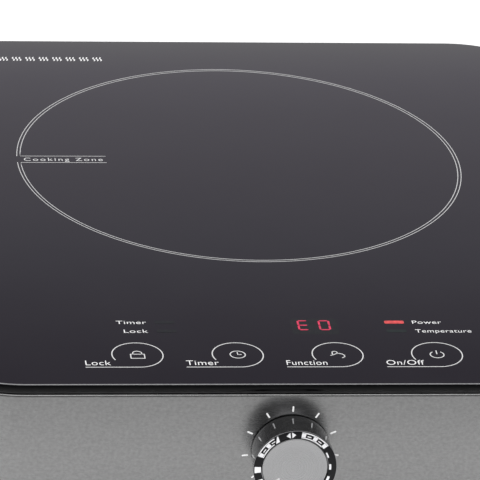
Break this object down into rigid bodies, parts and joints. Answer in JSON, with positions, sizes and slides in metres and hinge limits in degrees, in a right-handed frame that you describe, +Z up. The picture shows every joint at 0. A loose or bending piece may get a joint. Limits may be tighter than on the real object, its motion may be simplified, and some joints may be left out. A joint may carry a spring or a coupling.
{
  "type": "electric induction cooktop",
  "caption": "Tabletop induction cooktop: flat black glass with a round cooking zone and touch keys on a low steel case, with a turning power knob in front and a cooling fan below.",
  "frame": {"origin": "centre of the bounding box in plan, at the level the feet stand on", "axes": "+Z up, -Y towards the user: the front panel and its knob face -Y, and the touch keys are on the glass near that edge"},
  "size_m": [0.35, 0.4138, 0.08],
  "materials": {
    "glass": "polished black ceramic glass with grey prints, opaque",
    "steel": "fine brushed stainless steel",
    "zinc": "plain zinc-plated sheet steel",
    "screws": "bright zinc-plated steel",
    "seal": "matte black silicone",
    "feet": "matte black rubber",
    "knob": "glossy black-chromed sides",
    "knob_ring": "mirror-bright facetted ring",
    "knob_face": "turned grey face with a pointer line",
    "gland": "moulded black nylon",
    "black_plastic": "moulded black plastic",
    "grey_plastic": "moulded grey plastic",
    "copper": "lacquered copper wire",
    "ferrite": "dull sintered ferrite",
    "mica": "pressed mica sheet",
    "board": "green circuit board",
    "aluminium": "plain extruded aluminium",
    "yellow_plastic": "dipped film capacitor case"
  },
  "bodies": {
    "body": {"base_plate": "zinc", "base_screw_1": "screws", "base_screw_2": "screws", "base_screw_3": "screws", "base_screw_4": "screws", "choke": "copper", "coil_carrier": "black_plastic", "coil_lead_1": "copper", "coil_lead_2": "copper", "coil_winding": "copper", "control_board": "board", "control_bracket": "black_plastic", "digit_display": "black_plastic", "fan_frame": "black_plastic", "ferrite_bar_1": "ferrite", "ferrite_bar_2": "ferrite", "ferrite_bar_3": "ferrite", "ferrite_bar_4": "ferrite", "ferrite_bar_5": "ferrite", "ferrite_bar_6": "ferrite", "filter_capacitor": "yellow_plastic", "foot_1": "feet", "foot_2": "feet", "foot_3": "feet", "foot_4": "feet", "foot_screw_1": "screws", "foot_screw_2": "screws", "foot_screw_3": "screws", "foot_screw_4": "screws", "fuse": "aluminium", "gland_body": "gland", "gland_locknut": "gland", "gland_nut": "gland", "glass_seal": "seal", "glass_top": "glass", "heat_sink": "aluminium", "housing": "steel", "lamp_block_1": "black_plastic", "lamp_block_2": "black_plastic", "mica_sheet": "mica", "pot_body": "zinc", "pot_nut": "zinc", "power_board": "board", "rectifier": "black_plastic", "resonant_capacitor": "yellow_plastic", "ribbon_cable": "grey_plastic", "temperature_sensor": "grey_plastic", "terminal_block": "grey_plastic", "touch_spring_1": "aluminium", "touch_spring_2": "aluminium", "touch_spring_3": "aluminium", "touch_spring_4": "aluminium", "transformer": "black_plastic", "transistor": "black_plastic"},
    "knob": {"knob_body": "knob", "knob_bezel": "knob_ring", "knob_cap": "knob_face", "pot_shaft": "aluminium"},
    "fan": {"fan_rotor": "black_plastic"}
  },
  "joints": [
    {"name": "knob_turn", "type": "hinge", "parent": "body", "child": "knob", "pos_m": [0, -0.189, 0.0455], "axis": [0, 1, 0], "range_deg": [0, 260]},
    {"name": "fan_spin", "type": "hinge", "parent": "body", "child": "fan", "pos_m": [-0.1, -0.074, 0.0262], "axis": [0, 0, 1], "continuous": true}
  ]
}
